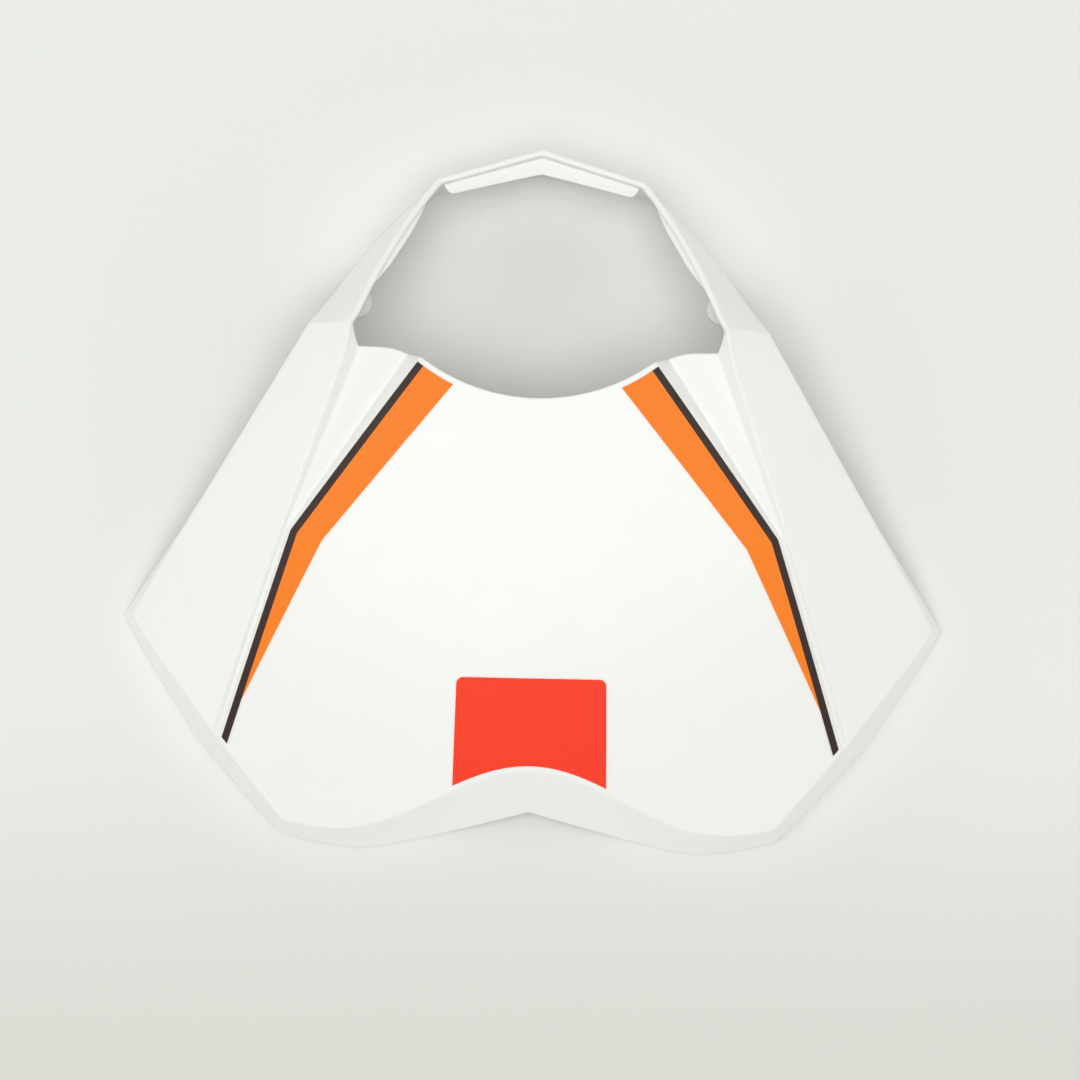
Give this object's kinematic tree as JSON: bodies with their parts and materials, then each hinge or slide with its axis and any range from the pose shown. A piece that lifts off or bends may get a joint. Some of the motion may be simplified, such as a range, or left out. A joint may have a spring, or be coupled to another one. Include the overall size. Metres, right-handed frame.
{
  "type": "motorcycle headlight cowl",
  "caption": "One-piece moulded front cowl of an off-road motorcycle: a crowned number panel with winged sides and a faceted hoop that frames the headlight.",
  "frame": {"origin": "on the plane of the rear rim, under the middle of the cowl's outline", "axes": "+X across the bike, +Y from the lower lip to the lamp hoop, +Z out of the front face"},
  "size_m": [0.3284, 0.278, 0.062],
  "materials": {
    "white_polypropylene": "moulded, semi-gloss white",
    "orange_vinyl": "gloss film",
    "black_vinyl": "gloss film",
    "red_vinyl": "gloss film"
  },
  "bodies": {
    "root": {"cowl_shell": "white_polypropylene", "orange_band_left": "orange_vinyl", "orange_band_right": "orange_vinyl", "black_line_left": "black_vinyl", "black_line_right": "black_vinyl", "red_patch": "red_vinyl"}
  },
  "joints": []
}
